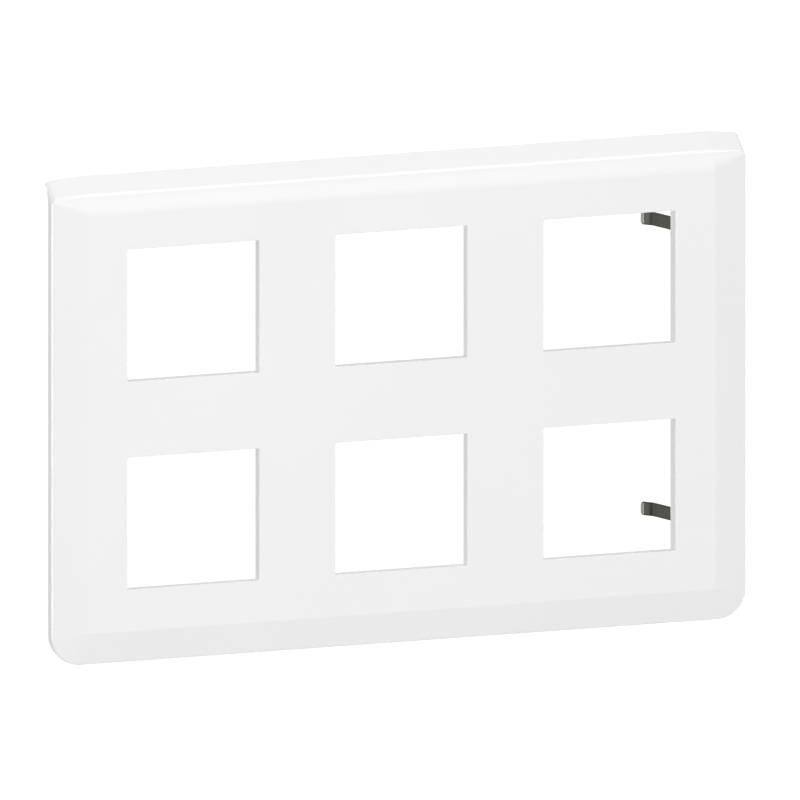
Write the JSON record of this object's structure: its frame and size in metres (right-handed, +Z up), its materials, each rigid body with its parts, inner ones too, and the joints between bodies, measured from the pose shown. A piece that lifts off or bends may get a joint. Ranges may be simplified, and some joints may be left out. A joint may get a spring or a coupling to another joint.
{
  "type": "switch frame",
  "caption": "White moulded cover frame for a grid of square switch and socket modules, with bevelled edges, a curved top hood and spring clips behind.",
  "frame": {"origin": "middle of the grid of openings, on the wall plane", "axes": "+X right, +Y into the wall, +Z up, seen from the front"},
  "size_m": [0.237, 0.0252, 0.1643],
  "materials": {
    "white_moulding": "satin moulded",
    "spring_steel": "dark hardened strip"
  },
  "bodies": {
    "root": {"front_frame": "white_moulding", "upper_left_clip": "spring_steel", "upper_right_clip": "spring_steel", "lower_left_clip": "spring_steel", "lower_right_clip": "spring_steel"}
  },
  "joints": []
}
